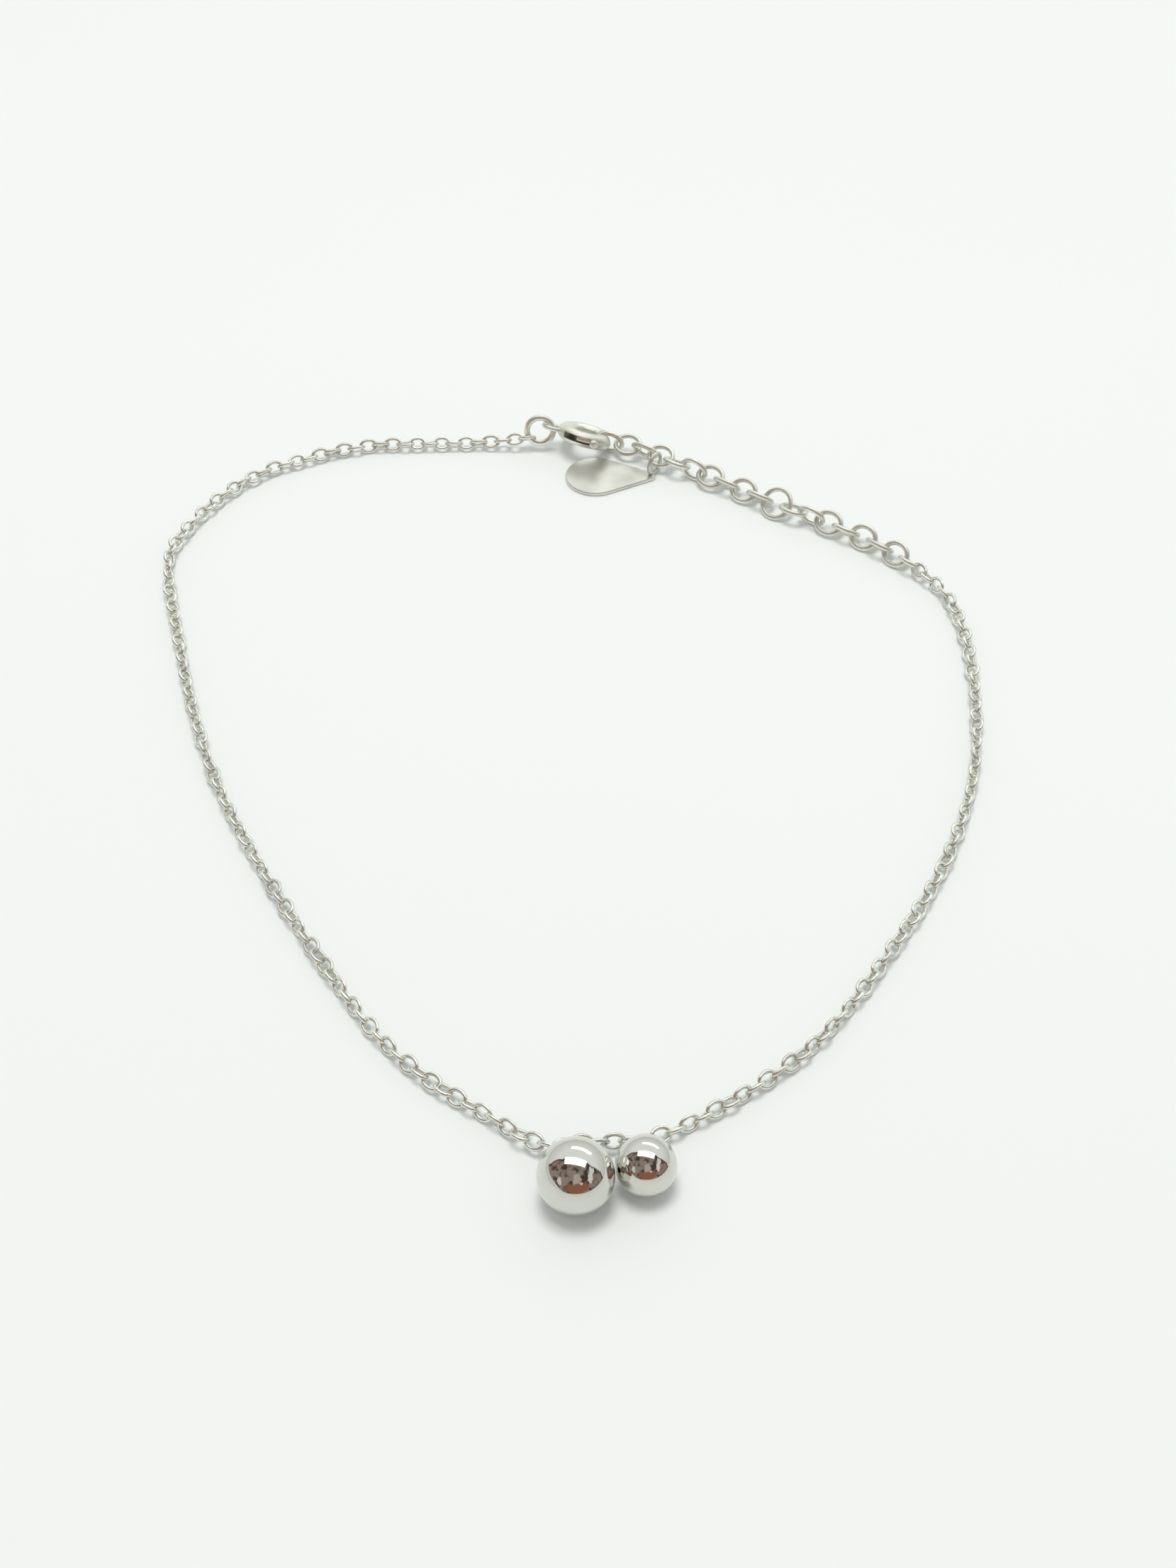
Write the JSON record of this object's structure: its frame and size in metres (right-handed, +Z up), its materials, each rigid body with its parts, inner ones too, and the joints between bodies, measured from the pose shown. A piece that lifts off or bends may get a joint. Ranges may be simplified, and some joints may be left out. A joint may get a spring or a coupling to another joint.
{
  "type": "chain anklet",
  "caption": "Fine cable-chain anklet lying in a loop, with two polished balls, a spring-ring clasp and an oval-link extender that carries a drop tag.",
  "frame": {"origin": "middle of the outline's box, on the plane that the anklet lies on", "axes": "+Z up from the plane it lies on; +Y from the balls at the front to the clasp at the back, the long way of the loop; +X to the right seen from the front"},
  "size_m": [0.0662, 0.0854, 0.005],
  "materials": {
    "polished_silver": "mirror polished silver balls",
    "chain_silver": "bright drawn-wire silver links of the fine chain",
    "findings_silver": "softly tumbled silver clasp, rings, extender and tag"
  },
  "bodies": {
    "anklet": {"ball_large": "polished_silver", "ball_small": "polished_silver", "ball_link_large": "chain_silver", "ball_link_small": "chain_silver", "chain_left": "chain_silver", "chain_middle": "chain_silver", "chain_right": "chain_silver", "clasp_ring": "findings_silver", "clasp_body": "findings_silver", "extender_link_01": "findings_silver", "extender_link_02": "findings_silver", "extender_link_03": "findings_silver", "extender_link_04": "findings_silver", "extender_link_05": "findings_silver", "extender_link_06": "findings_silver", "extender_link_07": "findings_silver", "extender_link_08": "findings_silver", "extender_link_09": "findings_silver", "extender_link_10": "findings_silver", "extender_link_11": "findings_silver", "extender_link_12": "findings_silver", "extender_link_13": "findings_silver", "extender_link_14": "findings_silver", "extender_link_15": "findings_silver", "extender_link_16": "findings_silver", "extender_link_17": "findings_silver", "extender_link_18": "findings_silver", "end_ring": "findings_silver", "tag": "findings_silver"},
    "clasp_bolt": {"clasp_bolt": "findings_silver"}
  },
  "joints": [
    {"name": "clasp_bolt_turn", "type": "hinge", "parent": "anklet", "child": "clasp_bolt", "pos_m": [0.00203, 0.04035, 0.00151], "axis": [-0.2543, -0.3759, -0.8911], "range_deg": [0, 58], "stiffness_Nm_per_rad": 0.001, "springref_deg": -28.65}
  ]
}
